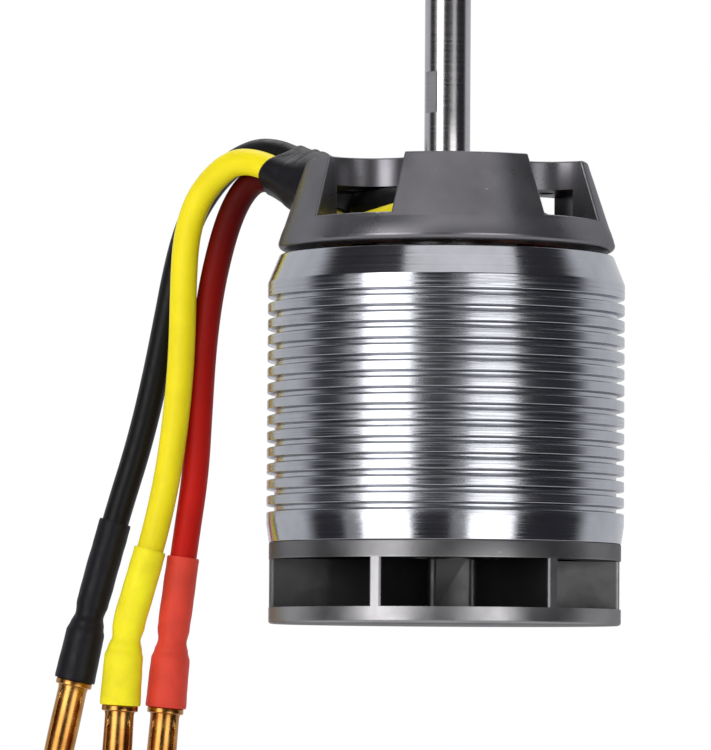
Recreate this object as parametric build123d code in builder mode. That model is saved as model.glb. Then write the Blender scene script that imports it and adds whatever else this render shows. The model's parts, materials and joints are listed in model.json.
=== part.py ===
"""Brushless outrunner motor, all lengths in millimetres.

Z runs along the output shaft. The origin is the centre of the mounting face, the flat top of the
cap, so the body hangs below it and the shaft stands above it. Angles are in degrees about +Z,
from +X towards +Y. The cap, stator and leads stand still; the can, magnets, bell and shaft turn.
"""

from build123d import *
from math import cos, hypot, pi, radians, sin, sqrt, tan
import os

# ---- driving dimensions -------------------------------------------------------------------------
SHAFT_R = 3.0
SHAFT_OUT = 38.0  # shaft above the mounting face
FLAT_ANGLE = -141.0  # direction that the shaft's flat faces
FLAT_Z = 9.2  # middle of the flat
FLAT_LENGTH = 5.4
FLAT_DEPTH = 0.24
CIRCLIP_R = 4.4
CIRCLIP_Z = -1.3  # its upper side
CIRCLIP_WIDTH = 0.6
CIRCLIP_DEPTH = 0.3  # depth of its groove in the shaft
WASHER_R = 4.1
WASHER_WIDTH = 0.3  # of the front shim
SHAFT_CHAMFER = 0.5
CIRCLIP_GAP = 1.6  # the open side of the circlip

CAP_TOP_R = 18.4
CAP_FLANK_R = 21.2  # where the cone ends and the skirt begins
CAP_FLANK_Z = -8.4
CAP_BASE_R = 22.0
CAP_BASE_Z = -11.54
CAP_PLATE = 3.7  # thickness of the cap's top plate
CAP_BORE_R = 17.0  # inside of the cap's skirt
CAP_HUB_R = 9.2
CAP_HUB_Z = -10.8
CAP_LIP_R = 5.3  # opening above the front bearing
CAP_EDGE_R = 0.25  # rounding of the pillars' and windows' edges
CAP_FOOT_R = 0.8  # rounding under the skirt
CAP_SKIRT_R = 21.78  # the skirt on its way out to the foot
CAP_SKIRT_Z = -9.94
PILLAR_ANGLE = -82.3  # the first of four pillars, 90 degrees apart
WINDOW_R = 5.95  # half the width of the slot between two pillars and the radius of its inner end
WINDOW_AT = 16.65  # from the axis to the middle of that round end
WINDOW_Z = -7.9  # floor of the window
MOUNT_PCD = 25.0
MOUNT_HOLE_R = 1.65  # tapping hole for M4

CAN_R = 23.3
CAN_TOP_Z = -12.2
CAN_RIM_R = 21.9
CAN_RIM_CHAMFER = 0.25
CAN_SHOULDER_Z = -15.9
CAN_FOOT_Z = -47.3
CAN_BASE_Z = -49.7
CAN_BASE_R = 22.95
CAN_BORE_R = 20.9
GROOVES = 14
GROOVE_TOP_Z = -18.2
GROOVE_PITCH = 2.092
GROOVE_DEPTH = 1.0
GROOVE_MOUTH = 0.45  # half the width of a groove at its mouth
GROOVE_FLOOR = 0.28  # half the width of its floor

MAGNETS = 10
MAGNET_R = 18.7
MAGNET_ARC = 31.0
MAGNET_TOP_Z = -14.5
MAGNET_LENGTH = 31.5

SLOTS = 12
CORE_R = 18.3
CORE_TOP_Z = -15.0
CORE_LENGTH = 30.5
CORE_BACK_R = 10.0  # root of the teeth
TOOTH_WIDTH = 3.6
SHOE_R = 17.2
SHOE_WIDTH = 7.6
TOOTH_OVERLAP = 0.5  # how far a tooth's outline runs into its back ring and its shoe
INSULATOR = 0.8
INSULATOR_INSET = 0.4  # of the insulator's edge behind the core's
COIL_INNER = 10.4
COIL_OUTER = 16.8
COIL_GAP = 0.15  # half the gap between neighbouring coils
COIL_END = 2.6  # height of a coil's end turns above its insulator
COIL_CHAMFER = 0.5
SLOT_FILM = 0.1  # how much wider than its tooth a coil's opening is

TUBE_R = 7.5  # stator tube
TUBE_BORE_R = 5.6
TUBE_TOP_Z = -7.2
TUBE_END_Z = -49.5

BEARING_R = 6.5
BEARING_WIDTH = 5.0
BEARING_TOPS = {"front": -2.2, "rear": -44.5}
BALLS = 8
BALL_R = 1.1
BALL_PITCH_R = 4.75
RACE_CLEARANCE = 0.02
INNER_RACE_R = 4.2
OUTER_RACE_R = 5.35
CAGE_HALF = 0.35  # half the cage's thickness
CAGE_RISE = 1.6  # its upper edge above the balls' centres
CAGE_HEIGHT = 2.6

BELL_R = 22.95
BELL_RING_BASE_Z = -51.9
BELL_PLATE_Z = -58.2
BELL_BASE_Z = -60.3
BELL_RING_BORE_R = 18.2
BELL_HUB_R = 7.0
BELL_HUB_Z = -50.3
SPIGOT_R = 19.3
SPIGOT_TOP_Z = -48.3
BLADES = 6
BLADE_ANGLE = 6.3  # the first blade, the others 60 degrees apart
BLADE_WIDTH = 1.5
SHAFT_END_Z = BELL_PLATE_Z - 0.4
GRUB_R = 1.5
GRUB_Z = -54.5
GRUB_LENGTH = 3.5
GRUB_SOCKET_R = 0.85
GRUB_SOCKET_DEPTH = 1.5
SPOT_DEPTH = 0.3  # the grub screws' seats in the shaft
SPOT_MARGIN = 0.3  # how far a seat reaches beyond its screw
BELL_EDGE = 0.3

LEAD_R = 1.8
SLEEVE_R = 4.15
SLEEVE_BORE_R = 3.95
SLEEVE_ANGLE = -216.3  # in the window behind the left pillar
SLEEVE_RISE = 20.0
SLEEVE_MOUTH_AT = 28.2  # distance of the mouth's centre from the axis
SLEEVE_MOUTH_Z = 0.8
SLEEVE_LENGTH = 11.5

SHRINK_R = 2.25  # connector shrink tube over the lead
SHRINK_CUP_R = 2.8  # and over the solder cup
SHRINK_BELOW = 9.1  # from the bend of the lead to the shrink tube's lower end
CUP_R = 2.35
CUP_TOP = 3.4  # the cup's mouth below the bend of the lead
PIN_R = 2.0
PIN_OUT = 14.0
PIN_CHAMFER = 0.5
COLLAR = 0.8
CUP_CLEARANCE = 0.05  # round the lead in the cup

os.makedirs("parts", exist_ok=True)


def finish(piece, label):
    """Label a finished piece and write it as its own STEP file."""
    piece.part.label = label
    export_step(piece.part, f"parts/{label}.step")
    return piece.part


def radial_plane(angle):
    """A plane through the axis: its x runs outwards at this angle, its y along +Z."""
    a = radians(angle)
    return Plane(origin=(0, 0, 0), x_dir=(cos(a), sin(a), 0), z_dir=(sin(a), -cos(a), 0))


def turned_plane(angle, z=0.0):
    """A level plane at height z, turned about +Z by this angle."""
    return Plane.XY.offset(z).rotated((0, 0, angle))


def ring(label, inner, outer, z, height):
    """A plain round ring, its top at z."""
    with BuildPart() as piece:
        with BuildSketch(Plane.XY.offset(z)):
            Circle(outer)
            Circle(inner, mode=Mode.SUBTRACT)
        extrude(amount=-height)
    return finish(piece, label)


# ---- cap: mounting plate, four pillars, skirt and front bearing seat -----------------------------
def on_cap_outside(edge):
    """True on the edges of the cap's top and on those of its windows where they leave the cone."""
    places = [edge @ t for t in (0, 0.5, 1)]
    near = min(hypot(p.X, p.Y) for p in places)
    highest = max(p.Z for p in places)
    lowest = min(p.Z for p in places)
    if lowest > -0.01:
        return near > WINDOW_AT - WINDOW_R - 0.01
    if lowest < WINDOW_Z - 0.01:
        return False
    if highest - lowest < 0.01:
        return near > CAP_TOP_R
    return near > CAP_BORE_R + 0.4


with BuildPart() as mount_cap:
    with BuildSketch(Plane.XZ):
        with BuildLine():
            Polyline(
                (CAP_LIP_R, 0),
                (CAP_TOP_R, 0),
                (CAP_FLANK_R, CAP_FLANK_Z),
            )
            ThreePointArc(
                (CAP_FLANK_R, CAP_FLANK_Z),
                (CAP_SKIRT_R, CAP_SKIRT_Z),
                (CAP_BASE_R, CAP_BASE_Z + CAP_FOOT_R),
            )
            RadiusArc(
                (CAP_BASE_R, CAP_BASE_Z + CAP_FOOT_R),
                (CAP_BASE_R - CAP_FOOT_R, CAP_BASE_Z),
                CAP_FOOT_R,
            )
            Polyline(
                (CAP_BASE_R - CAP_FOOT_R, CAP_BASE_Z),
                (CAP_BORE_R, CAP_BASE_Z),
                (CAP_BORE_R, -CAP_PLATE),
                (CAP_HUB_R, -CAP_PLATE),
                (CAP_HUB_R, CAP_HUB_Z),
                (TUBE_R, CAP_HUB_Z),
                (TUBE_R, TUBE_TOP_Z),
                (BEARING_R, TUBE_TOP_Z),
                (BEARING_R, BEARING_TOPS["front"]),
                (CAP_LIP_R, BEARING_TOPS["front"]),
                (CAP_LIP_R, 0),
            )
        make_face()
    revolve(axis=Axis.Z)
    with BuildSketch(Plane.XY.offset(WINDOW_Z)):
        with PolarLocations(WINDOW_AT, 4, start_angle=PILLAR_ANGLE + 45):
            Circle(WINDOW_R)
            Rectangle(WINDOW_R + 2, 2 * WINDOW_R, align=(Align.MIN, Align.CENTER))
    extrude(amount=-WINDOW_Z, mode=Mode.SUBTRACT)
    fillet([edge for edge in mount_cap.edges() if on_cap_outside(edge)], CAP_EDGE_R)
    with BuildSketch(Plane.XY):
        with PolarLocations(MOUNT_PCD / 2, 4, start_angle=PILLAR_ANGLE):
            Circle(MOUNT_HOLE_R)
    extrude(amount=-CAP_PLATE, mode=Mode.SUBTRACT)
finish(mount_cap, "mount_cap")

# ---- stator: tube, laminated core, slot insulators, coils ----------------------------------------
with BuildPart() as stator_tube:
    with BuildSketch(Plane.XZ):
        with BuildLine():
            Polyline(
                (TUBE_BORE_R, TUBE_TOP_Z),
                (TUBE_R, TUBE_TOP_Z),
                (TUBE_R, TUBE_END_Z),
                (BEARING_R, TUBE_END_Z),
                (BEARING_R, BEARING_TOPS["rear"]),
                (TUBE_BORE_R, BEARING_TOPS["rear"]),
                close=True,
            )
        make_face()
    revolve(axis=Axis.Z)
finish(stator_tube, "stator_tube")


def lamination_sketch(outer_r):
    """The outline of one lamination: back ring, teeth and the shoes at their ends."""
    Circle(CORE_BACK_R)
    with PolarLocations((CORE_BACK_R + outer_r) / 2 - TOOTH_OVERLAP, SLOTS):
        Rectangle(outer_r - CORE_BACK_R + 2 * TOOTH_OVERLAP, TOOTH_WIDTH)
    with PolarLocations((outer_r + SHOE_R) / 2, SLOTS):
        Rectangle(outer_r - SHOE_R + TOOTH_OVERLAP, SHOE_WIDTH)
    Circle(TUBE_R, mode=Mode.SUBTRACT)


with BuildPart() as stator_core:
    with BuildSketch(Plane.XY.offset(CORE_TOP_Z)):
        lamination_sketch(CORE_R)
    extrude(amount=-CORE_LENGTH)
    with BuildSketch(Plane.XY.offset(CORE_TOP_Z)):
        Circle(CORE_R)
    extrude(amount=-CORE_LENGTH, mode=Mode.INTERSECT)
finish(stator_core, "stator_core")

for end, top in (
    ("front", CORE_TOP_Z + INSULATOR),
    ("rear", CORE_TOP_Z - CORE_LENGTH),
):
    with BuildPart() as insulator:
        with BuildSketch(Plane.XY.offset(top)):
            lamination_sketch(CORE_R - INSULATOR_INSET)
        extrude(amount=-INSULATOR)
        with BuildSketch(Plane.XY.offset(top)):
            Circle(CORE_R - INSULATOR_INSET)
        extrude(amount=-INSULATOR, mode=Mode.INTERSECT)
    finish(insulator, f"{end}_slot_insulator")

coil_top = CORE_TOP_Z + INSULATOR + COIL_END
coil_length = CORE_LENGTH + 2 * (INSULATOR + COIL_END)
half_slot = tan(radians(180 / SLOTS))
for number in range(SLOTS):
    angle = number * 360 / SLOTS
    with BuildPart() as coil:
        with BuildSketch(turned_plane(angle, coil_top)):
            with BuildLine():
                narrow = COIL_INNER * half_slot - COIL_GAP
                wide = COIL_OUTER * half_slot - COIL_GAP
                Polyline(
                    (COIL_INNER, -narrow),
                    (COIL_OUTER, -wide),
                    (COIL_OUTER, wide),
                    (COIL_INNER, narrow),
                    close=True,
                )
            make_face()
        extrude(amount=-coil_length)
        chamfer(coil.faces().sort_by(Axis.Z)[-1].edges(), COIL_CHAMFER)
        chamfer(coil.faces().sort_by(Axis.Z)[0].edges(), COIL_CHAMFER)
        with BuildSketch(turned_plane(angle, CORE_TOP_Z + INSULATOR)):
            with Locations(((COIL_INNER + COIL_OUTER) / 2, 0)):
                Rectangle(COIL_OUTER - COIL_INNER + 2 * TOOTH_OVERLAP, TOOTH_WIDTH + SLOT_FILM)
        extrude(amount=-(CORE_LENGTH + 2 * INSULATOR), mode=Mode.SUBTRACT)
    finish(coil, f"coil_{number + 1:02d}")

# ---- bearings: races, cage and balls -------------------------------------------------------------
for end, top in BEARING_TOPS.items():
    middle = top - BEARING_WIDTH / 2
    with BuildPart() as outer_race:
        with BuildSketch(Plane.XZ):
            with Locations(((OUTER_RACE_R + BEARING_R) / 2, middle)):
                Rectangle(BEARING_R - OUTER_RACE_R, BEARING_WIDTH)
            with Locations((BALL_PITCH_R, middle)):
                Circle(BALL_R + RACE_CLEARANCE, mode=Mode.SUBTRACT)
        revolve(axis=Axis.Z)
    finish(outer_race, f"{end}_bearing_outer_race")
    with BuildPart() as inner_race:
        with BuildSketch(Plane.XZ):
            with Locations(((SHAFT_R + INNER_RACE_R) / 2, middle)):
                Rectangle(INNER_RACE_R - SHAFT_R, BEARING_WIDTH)
            with Locations((BALL_PITCH_R, middle)):
                Circle(BALL_R + RACE_CLEARANCE, mode=Mode.SUBTRACT)
        revolve(axis=Axis.Z)
    finish(inner_race, f"{end}_bearing_inner_race")
    with BuildPart() as balls:
        with Locations((0, 0, middle)):
            with PolarLocations(BALL_PITCH_R, BALLS):
                Sphere(BALL_R)
    finish(balls, f"{end}_bearing_balls")
    with BuildPart() as cage:
        with BuildSketch(Plane.XY.offset(middle + CAGE_RISE)):
            Circle(BALL_PITCH_R + CAGE_HALF)
            Circle(BALL_PITCH_R - CAGE_HALF, mode=Mode.SUBTRACT)
        extrude(amount=-CAGE_HEIGHT)
        with Locations((0, 0, middle)):
            with PolarLocations(BALL_PITCH_R, BALLS):
                Sphere(BALL_R + RACE_CLEARANCE, mode=Mode.SUBTRACT)
    finish(cage, f"{end}_bearing_cage")

# ---- rotor: can, magnets, bell, shaft and what holds them ----------------------------------------
groove_outline = []
for number in range(GROOVES):
    z = GROOVE_TOP_Z - number * GROOVE_PITCH
    groove_outline += [
        (CAN_R, z + GROOVE_MOUTH),
        (CAN_R - GROOVE_DEPTH, z + GROOVE_FLOOR),
        (CAN_R - GROOVE_DEPTH, z - GROOVE_FLOOR),
        (CAN_R, z - GROOVE_MOUTH),
    ]

with BuildPart() as rotor_can:
    with BuildSketch(Plane.XZ):
        with BuildLine():
            Polyline(
                (CAN_BORE_R, CAN_TOP_Z),
                (CAN_RIM_R - CAN_RIM_CHAMFER, CAN_TOP_Z),
                (CAN_RIM_R, CAN_TOP_Z - CAN_RIM_CHAMFER),
                (CAN_R, CAN_SHOULDER_Z),
                *groove_outline,
                (CAN_R, CAN_FOOT_Z),
                (CAN_BASE_R, CAN_BASE_Z),
                (CAN_BORE_R, CAN_BASE_Z),
                close=True,
            )
        make_face()
    revolve(axis=Axis.Z)
finish(rotor_can, "rotor_can")

for number in range(MAGNETS):
    start = number * 360 / MAGNETS - MAGNET_ARC / 2
    with BuildPart() as magnet:
        with BuildSketch(radial_plane(start)):
            with Locations(((MAGNET_R + CAN_BORE_R) / 2, MAGNET_TOP_Z - MAGNET_LENGTH / 2)):
                Rectangle(CAN_BORE_R - MAGNET_R, MAGNET_LENGTH)
        revolve(axis=Axis.Z, revolution_arc=MAGNET_ARC)
    finish(magnet, f"magnet_{number + 1:02d}")

with BuildPart() as fan_bell:
    with BuildSketch(Plane.XZ):
        with BuildLine():
            Polyline(
                (SHAFT_R, BELL_HUB_Z),
                (BELL_HUB_R, BELL_HUB_Z),
                (BELL_HUB_R, BELL_RING_BASE_Z),
                (BELL_RING_BORE_R, BELL_RING_BASE_Z),
                (BELL_RING_BORE_R, CAN_BASE_Z),
                (SPIGOT_R, SPIGOT_TOP_Z),
                (CAN_BORE_R, SPIGOT_TOP_Z),
                (CAN_BORE_R, CAN_BASE_Z),
                (BELL_R, CAN_BASE_Z),
                (BELL_R, BELL_BASE_Z + BELL_EDGE),
                (BELL_R - BELL_EDGE, BELL_BASE_Z),
                (0, BELL_BASE_Z),
                (0, SHAFT_END_Z),
                (SHAFT_R, SHAFT_END_Z),
                close=True,
            )
        make_face()
    revolve(axis=Axis.Z)
    with BuildSketch(Plane.XY.offset(BELL_PLATE_Z)):
        Circle(BELL_R + 1)
        Circle(BELL_HUB_R, mode=Mode.SUBTRACT)
        with PolarLocations(BELL_R / 2 + 1, BLADES, start_angle=BLADE_ANGLE):
            Rectangle(BELL_R + 2, BLADE_WIDTH, mode=Mode.SUBTRACT)
    extrude(amount=BELL_RING_BASE_Z - BELL_PLATE_Z, mode=Mode.SUBTRACT)
    for side in (0, 180):
        drill = Plane(origin=(0, 0, GRUB_Z), z_dir=radial_plane(BLADE_ANGLE + 30 + side).x_dir)
        with BuildSketch(drill):
            Circle(GRUB_R)
        extrude(amount=BELL_HUB_R + 1, mode=Mode.SUBTRACT)
finish(fan_bell, "fan_bell")

with BuildPart() as grub_screws:
    for side in (0, 180):
        drill = Plane(origin=(0, 0, GRUB_Z), z_dir=radial_plane(BLADE_ANGLE + 30 + side).x_dir)
        with BuildSketch(drill.offset(SHAFT_R - SPOT_DEPTH)):
            Circle(GRUB_R)
        extrude(amount=GRUB_LENGTH)
        with BuildSketch(drill.offset(SHAFT_R - SPOT_DEPTH + GRUB_LENGTH)):
            RegularPolygon(GRUB_SOCKET_R, 6)
        extrude(amount=-GRUB_SOCKET_DEPTH, mode=Mode.SUBTRACT)
finish(grub_screws, "shaft_grub_screws")

with BuildPart() as motor_shaft:
    with BuildSketch(Plane.XZ):
        with BuildLine():
            Polyline(
                (0, SHAFT_OUT),
                (SHAFT_R - SHAFT_CHAMFER, SHAFT_OUT),
                (SHAFT_R, SHAFT_OUT - SHAFT_CHAMFER),
                (SHAFT_R, CIRCLIP_Z),
                (SHAFT_R - CIRCLIP_DEPTH, CIRCLIP_Z),
                (SHAFT_R - CIRCLIP_DEPTH, CIRCLIP_Z - CIRCLIP_WIDTH),
                (SHAFT_R, CIRCLIP_Z - CIRCLIP_WIDTH),
                (SHAFT_R, SHAFT_END_Z),
                (0, SHAFT_END_Z),
                close=True,
            )
        make_face()
    revolve(axis=Axis.Z)
    flat = Plane(origin=(0, 0, FLAT_Z), z_dir=radial_plane(FLAT_ANGLE).x_dir)
    with BuildSketch(flat.offset(SHAFT_R - FLAT_DEPTH)):
        Rectangle(2 * SHAFT_R, FLAT_LENGTH)
    extrude(amount=1, mode=Mode.SUBTRACT)
    for side in (0, 180):
        seat = Plane(origin=(0, 0, GRUB_Z), z_dir=radial_plane(BLADE_ANGLE + 30 + side).x_dir)
        with BuildSketch(seat.offset(SHAFT_R - SPOT_DEPTH)):
            Rectangle(2 * SHAFT_R, 2 * (GRUB_R + SPOT_MARGIN))
        extrude(amount=1, mode=Mode.SUBTRACT)
finish(motor_shaft, "motor_shaft")

ring("front_shim_washer", SHAFT_R, WASHER_R, CIRCLIP_Z - CIRCLIP_WIDTH, WASHER_WIDTH)
ring("rear_thrust_washer", SHAFT_R, WASHER_R, TUBE_END_Z, TUBE_END_Z - BELL_HUB_Z)

with BuildPart() as shaft_circlip:
    with BuildSketch(Plane.XY.offset(CIRCLIP_Z)):
        Circle(CIRCLIP_R)
        Circle(SHAFT_R - CIRCLIP_DEPTH, mode=Mode.SUBTRACT)
        Rectangle(CIRCLIP_R, CIRCLIP_GAP, align=(Align.MIN, Align.CENTER), mode=Mode.SUBTRACT)
    extrude(amount=-CIRCLIP_WIDTH)
finish(shaft_circlip, "shaft_circlip")

# ---- sleeve that gathers the three leads where they leave the cap --------------------------------
away = radians(SLEEVE_ANGLE)
rise = radians(SLEEVE_RISE)
out_dir = Vector(cos(away) * cos(rise), sin(away) * cos(rise), sin(rise))
side_dir = Vector(-sin(away), cos(away), 0)
up_dir = Vector(-cos(away) * sin(rise), -sin(away) * sin(rise), cos(rise))
mouth = Vector(SLEEVE_MOUTH_AT * cos(away), SLEEVE_MOUTH_AT * sin(away), SLEEVE_MOUTH_Z)
bundle = (2 * LEAD_R + 0.04) / sqrt(3)  # from the bundle's centre to each lead's
starts = {
    "yellow": mouth + side_dir * bundle,
    "black": mouth + (up_dir * sin(radians(60)) - side_dir * 0.5) * bundle,
    "red": mouth - (up_dir * sin(radians(60)) + side_dir * 0.5) * bundle,
}

with BuildPart() as lead_sleeve:
    with BuildSketch(Plane(origin=mouth, z_dir=out_dir)):
        Circle(SLEEVE_R)
        Circle(SLEEVE_BORE_R, mode=Mode.SUBTRACT)
    extrude(amount=-SLEEVE_LENGTH)
finish(lead_sleeve, "lead_sleeve")


def tube(label, route, share=0.45):
    """A round lead along straight runs joined by tangent arcs.

    An arc starts this share of its shorter run away from its corner.
    """
    points = [Vector(*p) for p in route]
    arcs = []
    for before, corner, after in zip(points, points[1:], points[2:]):
        first = corner - before
        second = after - corner
        half_turn = radians(first.get_angle(second)) / 2
        arcs.append(share * min(first.length, second.length) / tan(half_turn))
    with BuildPart() as piece:
        with BuildLine() as path:
            FilletPolyline(*points, radius=arcs)
        spine = path.wire()
        with BuildSketch(Plane(origin=spine @ 0, z_dir=spine % 0)):
            Circle(LEAD_R)
        sweep()
    full = piece.part.volume / (spine.length * pi * LEAD_R**2)
    print(f"{label}: {spine.length:.2f} long, volume share {full:.4f}, radii", end=" ")
    print([round(arc, 1) for arc in arcs])
    return finish(piece, label)


# The leads' inner ends lie in the sleeve, go round the hub inside the cap and meet their coils.
inner_ends = {
    "yellow": (13.0, [(-14.6, 4.4, -8.2), (-14.3, -2.6, -9.7), (-11.2, -9.4, -9.2), (-4.4, -13.9, -7.4)]),
    "black": (13.8, [(-10.7, 4.4, -6.2), (-11.1, -2.2, -5.6), (-8.2, -8.2, -5.7), (-4.6, -10.4, -5.6)]),
    "red": (
        14.2,
        [
            (-8.2, 12.2, -8.8),
            (-2.8, 13.4, -9.6),
            (2.5, 13.6, -9.6),
            (7.8, 11.9, -8.9),
            (11.6, 7.6, -7.6),
            (12.7, 2.2, -7.7),
            (12.0, -2.8, -9.3),
        ],
    ),
}
for colour, (straight, rest) in inner_ends.items():
    start = starts[colour]
    tube(f"{colour}_inner_lead", [start, start - out_dir * straight, *rest], share=0.3)

# ---- free leads from the sleeve's mouth down to their connectors ---------------------------------
routes = {
    "yellow": [
        (-25.8, 16.3, 1.6),
        (-28.6, 18.2, 1.5),
        (-31.3, 20.0, -0.7),
        (-33.4, 21.0, -3.8),
        (-34.7, 21.5, -8.4),
        (-35.0, 21.5, -14.6),
        (-35.1, 21.5, -23.0),
        (-35.7, 21.5, -31.5),
        (-36.8, 21.5, -40.0),
        (-38.5, 21.5, -48.0),
        (-42.5, 21.5, -62.0),
        (-42.9, 21.5, -69.2),
    ],
    "black": [
        (-23.2, 18.4, 3.2),
        (-26.2, 20.8, 3.0),
        (-29.2, 22.9, 1.3),
        (-32.0, 24.4, -1.8),
        (-34.4, 25.5, -6.0),
        (-36.0, 25.7, -11.8),
        (-37.4, 25.7, -19.6),
        (-39.1, 25.6, -28.4),
        (-41.0, 25.5, -36.4),
        (-43.5, 25.4, -44.6),
        (-47.4, 25.4, -58.9),
        (-48.9, 25.4, -65.9),
    ],
    "red": [
        (-24.2, 19.1, -0.3),
        (-25.9, 20.2, -0.9),
        (-27.4, 21.1, -2.6),
        (-28.8, 22.0, -5.4),
        (-30.1, 22.9, -9.6),
        (-31.4, 23.5, -15.6),
        (-32.3, 23.6, -22.8),
        (-32.8, 23.6, -32.0),
        (-33.2, 23.6, -40.0),
        (-34.4, 23.6, -48.4),
        (-36.2, 23.6, -62.3),
        (-36.8, 23.6, -69.4),
    ],
}
shrink_lengths = {"yellow": 12.2, "black": 12.9, "red": 11.2}  # from the bend upwards

for colour, rest in routes.items():
    lead = tube(f"{colour}_lead", [starts[colour], *rest])
    above, bend, end = (Vector(*p) for p in rest[-3:])
    cup_plane = Plane(origin=bend, z_dir=end - bend)
    with BuildPart() as bullet:
        with BuildSketch(cup_plane.offset(CUP_TOP)):
            Circle(CUP_R)
        extrude(amount=SHRINK_BELOW - CUP_TOP)
        with BuildSketch(cup_plane.offset(CUP_TOP)):
            Circle(LEAD_R + CUP_CLEARANCE)
        extrude(amount=(end - bend).length - CUP_TOP + CUP_CLEARANCE, mode=Mode.SUBTRACT)
        with BuildSketch(cup_plane.offset(SHRINK_BELOW)):
            Circle(CUP_R)
        extrude(amount=COLLAR)
        with BuildSketch(cup_plane.offset(SHRINK_BELOW + COLLAR)):
            Circle(PIN_R)
        extrude(amount=PIN_OUT - COLLAR)
        chamfer(bullet.faces().sort_by(SortBy.DISTANCE)[-1].edges(), PIN_CHAMFER)
    finish(bullet, f"{colour}_bullet_pin")
    with BuildPart() as shrink:
        with BuildSketch(Plane(origin=bend, z_dir=above - bend)):
            Circle(SHRINK_R)
        extrude(amount=shrink_lengths[colour])
        with Locations(bend):
            Sphere(SHRINK_R)
        with BuildSketch(cup_plane):
            Circle(SHRINK_R)
        with BuildSketch(cup_plane.offset(CUP_TOP)):
            Circle(SHRINK_CUP_R)
        loft()
        with BuildSketch(cup_plane.offset(CUP_TOP)):
            Circle(SHRINK_CUP_R)
        extrude(amount=SHRINK_BELOW - CUP_TOP)
        add(lead, mode=Mode.SUBTRACT)
        add(bullet.part, mode=Mode.SUBTRACT)
    finish(shrink, f"{colour}_connector_shrink")
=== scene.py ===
import json
import random
from math import cos, exp, pi, radians, sin, sqrt, tan

import bmesh
import bpy
from mathutils import Matrix, Vector, noise


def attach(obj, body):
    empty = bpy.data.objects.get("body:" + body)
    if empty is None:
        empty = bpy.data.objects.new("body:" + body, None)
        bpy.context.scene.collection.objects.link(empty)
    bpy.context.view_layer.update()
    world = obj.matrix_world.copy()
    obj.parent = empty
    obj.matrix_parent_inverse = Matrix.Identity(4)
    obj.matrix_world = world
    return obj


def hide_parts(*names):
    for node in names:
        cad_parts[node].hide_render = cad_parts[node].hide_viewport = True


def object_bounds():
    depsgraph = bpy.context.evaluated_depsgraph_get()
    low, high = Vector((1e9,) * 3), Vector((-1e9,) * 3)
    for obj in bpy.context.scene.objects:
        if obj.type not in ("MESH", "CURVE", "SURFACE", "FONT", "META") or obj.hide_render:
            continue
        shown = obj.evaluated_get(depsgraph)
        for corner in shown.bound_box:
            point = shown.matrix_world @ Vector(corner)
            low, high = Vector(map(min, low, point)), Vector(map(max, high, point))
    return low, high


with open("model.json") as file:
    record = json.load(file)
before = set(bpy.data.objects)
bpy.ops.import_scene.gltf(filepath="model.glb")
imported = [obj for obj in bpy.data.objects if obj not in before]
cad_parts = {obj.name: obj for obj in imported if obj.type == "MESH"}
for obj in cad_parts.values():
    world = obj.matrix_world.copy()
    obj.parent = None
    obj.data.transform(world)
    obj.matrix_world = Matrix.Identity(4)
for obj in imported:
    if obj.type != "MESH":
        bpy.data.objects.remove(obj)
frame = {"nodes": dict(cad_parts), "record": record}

cad_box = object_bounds()
scene = bpy.context.scene
MM = 0.001  # sizes below are in millimetres, as in the part's source, and scaled where used

# ---- sizes shared with the part's source ---------------------------------------------------------
SHAFT_R = 3.0
SHAFT_OUT = 38.0
SHAFT_END_Z = -58.6
GRUB_Z = -54.5
GRUB_R = 1.5
BLADE_ANGLE = 6.3
BLADES = 6
BLADE_HALF = 0.75
BELL_R = 22.95
BELL_BASE_Z = -60.3
BELL_PLATE_Z = -58.2
BELL_RING_BASE_Z = -51.9
BELL_RING_BORE_R = 18.2
BELL_HUB_R = 7.0
BELL_HUB_Z = -50.3
SPIGOT_R = 19.3
SPIGOT_TOP_Z = -48.3
CAN_R = 23.3
CAN_RIM_R = 21.9
CAN_BASE_R = 22.95
CAN_BORE_R = 20.9
CAN_TOP_Z = -12.2
CAN_SHOULDER_Z = -15.9
CAN_FOOT_Z = -47.3
CAN_BASE_Z = -49.7
GROOVES = 14
GROOVE_TOP_Z = -18.2
GROOVE_PITCH = 2.092
TOOTH_HALF = 1.8
COIL_TOP_Z = -14.2  # top of the front insulator, where the end turns start
COIL_BOTTOM_Z = -46.3
COIL_INNER = 10.4
COIL_GAP = 0.15
SLOTS = 12
LEAD_R = 1.8
SLEEVE_ANGLE = -216.3
SLEEVE_RISE = 20.0
SLEEVE_MOUTH_AT = 28.2
SLEEVE_MOUTH_Z = 0.8
SLEEVE_LENGTH = 11.5
SHRINK_BELOW = 9.1  # from the lead's last bend to the shrink tube's lower end
CUP_R = 2.35
PIN_R = 2.0
PIN_OUT = 14.0
COLLAR = 0.8

# ---- camera --------------------------------------------------------------------------------------
CAMERA_PLACE = (-0.0118, -0.770, -0.0688)  # metres
CAMERA_LENS = 283.5
CAMERA_PITCH = 3.05  # degrees above level
CAMERA_ROLL = 0.382  # degrees

camera = bpy.data.objects.new("camera", bpy.data.cameras.new("camera"))
scene.collection.objects.link(camera)
scene.camera = camera
camera.data.sensor_width = 36.0
camera.data.lens = CAMERA_LENS
camera.data.clip_start = 0.01
camera.data.clip_end = 50.0
pitch = Matrix.Rotation(radians(90 + CAMERA_PITCH), 4, "X")
roll = Matrix.Rotation(radians(CAMERA_ROLL), 4, "Z")
camera.matrix_world = Matrix.Translation(CAMERA_PLACE) @ (pitch @ roll)


# ---- materials -----------------------------------------------------------------------------------
METAL_EDGE_TINT = (0.45, 0.45, 0.45, 1)
SCRATCHES = (0.76, 0.8)  # from no scratch to a full one, on the scratch noise
# blur of the painted light below a height on the bell, in millimetres
LOWER_LIGHT_BLUR = 0.3
# blur of the painted shade inside the bell, in millimetres
INNER_SHADE_BLUR = 0.35
POLISH_BLUR = 0.6
SHADE_FROM = -42.0  # height where the shade under the sleeve starts
SHADE_BLUR = 38.0
SHRINK_SHINE = 0.18


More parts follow.
